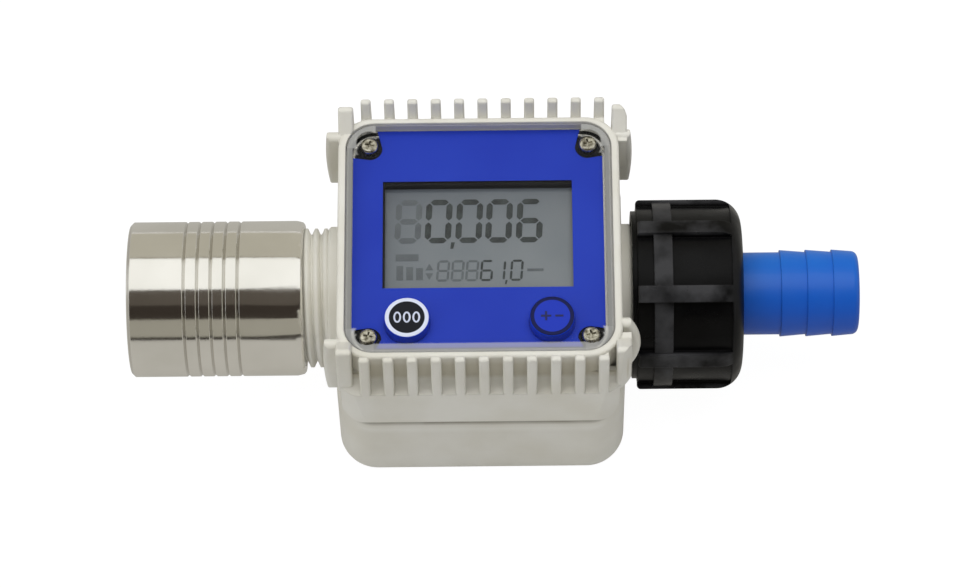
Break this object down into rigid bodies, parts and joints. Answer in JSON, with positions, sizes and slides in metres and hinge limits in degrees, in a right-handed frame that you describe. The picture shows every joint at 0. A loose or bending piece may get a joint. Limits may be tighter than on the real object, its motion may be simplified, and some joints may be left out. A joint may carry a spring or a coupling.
{
  "type": "turbine flow meter",
  "caption": "In-line turbine flow meter with a finned display head, threaded stubs, steel coupling, ribbed union nut and barbed hose tail.",
  "frame": {"origin": "centre of the base's flat underside", "axes": "+X along the pipe towards the hose tail, +Z out of the display, +Y away from the buttons"},
  "size_m": [0.1734, 0.0726, 0.0619],
  "materials": {
    "cream_plastic": "moulded, slightly satin",
    "black_rubber": "matt",
    "clear_plastic": "clear, glossy",
    "blue_panel": "printed, glossy",
    "lcd_glass": "grey display glass",
    "grey_rubber": "matt",
    "board_green": "coated board",
    "screw_steel": "nickel plated",
    "black_plastic": "moulded",
    "reed_glass": "glass tube",
    "black_button": "moulded, satin",
    "blue_button": "moulded, satin",
    "cell_metal": "plain steel can",
    "white_acetal": "moulded",
    "magnet_metal": "plated",
    "shaft_steel": "ground",
    "dark_acetal": "moulded",
    "coupling_steel": "turned and polished",
    "blue_plastic": "moulded, satin",
    "nut_plastic": "moulded, fine mottled texture"
  },
  "bodies": {
    "meter": {"meter_body": "cream_plastic", "housing_gasket": "black_rubber", "display_housing": "cream_plastic", "cover_gasket": "black_rubber", "clear_cover": "clear_plastic", "face_panel": "blue_panel", "display_carrier": "black_plastic", "lcd_module": "lcd_glass", "contact_strips": "grey_rubber", "circuit_board": "board_green", "board_screws": "screw_steel", "tact_switches": "black_plastic", "reed_switch": "reed_glass", "cover_screws": "screw_steel", "batteries": "cell_metal", "battery_contacts": "screw_steel", "outlet_diffuser": "white_acetal", "inlet_diffuser": "white_acetal", "bearing_bushes": "dark_acetal", "retaining_rings": "shaft_steel", "steel_coupling": "coupling_steel"},
    "rotor": {"turbine_rotor": "white_acetal", "rotor_shaft": "shaft_steel", "rotor_magnets": "magnet_metal"},
    "reset_button": {"reset_button": "black_button"},
    "cal_button": {"cal_button": "blue_button"},
    "tail": {"hose_tail": "blue_plastic", "union_washer": "black_rubber"},
    "nut": {"union_nut": "nut_plastic"}
  },
  "joints": [
    {"name": "rotor_spin", "type": "hinge", "parent": "meter", "child": "rotor", "pos_m": [0, 0, 0.028], "axis": [1, 0, 0], "continuous": true},
    {"name": "reset_press", "type": "slide", "parent": "meter", "child": "reset_button", "axis": [0, 0, -1], "range_m": [0, 0.0008], "stiffness_N_per_m": 500},
    {"name": "cal_press", "type": "slide", "parent": "meter", "child": "cal_button", "axis": [0, 0, -1], "range_m": [0, 0.0008], "stiffness_N_per_m": 500},
    {"name": "union_draw", "type": "slide", "parent": "meter", "child": "tail", "axis": [1, 0, 0], "range_m": [0, 0.0139]},
    {"name": "nut_turn", "type": "hinge", "parent": "tail", "child": "nut", "pos_m": [0.05, 0, 0.028], "axis": [1, 0, 0], "range_deg": [0, 2160]}
  ],
  "couplings": [
    {"joint": "union_draw", "follows": "nut_turn", "m_per_rad": 0.0003675}
  ]
}
